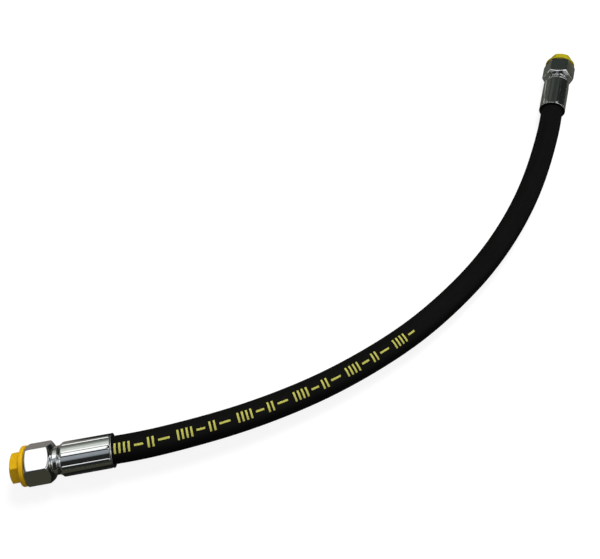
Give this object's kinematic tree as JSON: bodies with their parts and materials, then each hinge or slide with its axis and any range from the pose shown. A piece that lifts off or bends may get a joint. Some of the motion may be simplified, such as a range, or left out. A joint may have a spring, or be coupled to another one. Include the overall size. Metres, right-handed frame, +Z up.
{
  "type": "hydraulic hose assembly",
  "caption": "Bent wire-braided rubber hydraulic hose with a crimped ferrule and a swivel nut at each end, each nut closed by a protective plug.",
  "frame": {"origin": "on the surface that the hose lies on, midway between the two fittings", "axes": "+X from fitting A to fitting B, +Z up from the surface, -Y towards the outside of the hose's bend"},
  "size_m": [0.6522, 0.1342, 0.0305],
  "materials": {
    "hose_rubber": "black hose cover with a soft sheen",
    "braid_wire": "brass-coated steel wire braid",
    "liner_rubber": "smooth black inner tube",
    "ferrule_steel": "bright zinc plate with crimping marks along it",
    "stem_steel": "bright zinc plate, turned",
    "nut_steel": "bright zinc plate, smooth flats",
    "spring_wire": "drawn spring wire",
    "seal_rubber": "smooth nitrile",
    "plug_plastic": "moulded amber-yellow polyethylene"
  },
  "bodies": {
    "hose": {"hose_cover": "hose_rubber", "wire_braid": "braid_wire", "hose_liner": "liner_rubber", "ferrule_a": "ferrule_steel", "stem_a": "stem_steel", "cone_seal_a": "seal_rubber", "ferrule_b": "ferrule_steel", "stem_b": "stem_steel", "cone_seal_b": "seal_rubber"},
    "nut_a": {"swivel_nut_a": "nut_steel", "thrust_wire_a": "spring_wire"},
    "plug_a": {"plug_a": "plug_plastic"},
    "nut_b": {"swivel_nut_b": "nut_steel", "thrust_wire_b": "spring_wire"},
    "plug_b": {"plug_b": "plug_plastic"}
  },
  "joints": [
    {"name": "nut_a_swivel", "type": "hinge", "parent": "hose", "child": "nut_a", "pos_m": [-0.30258, 0.0053, 0.0144], "axis": [-0.8682, 0.4961, 0], "continuous": true},
    {"name": "plug_a_draw", "type": "slide", "parent": "nut_a", "child": "plug_a", "axis": [-0.8682, 0.4961, 0], "range_m": [0, 0.02]},
    {"name": "nut_b_swivel", "type": "hinge", "parent": "hose", "child": "nut_b", "pos_m": [0.30182, 0.00659, 0.01525], "axis": [0.8533, 0.5214, 0], "continuous": true},
    {"name": "plug_b_draw", "type": "slide", "parent": "nut_b", "child": "plug_b", "axis": [0.8533, 0.5214, 0], "range_m": [0, 0.02]}
  ]
}
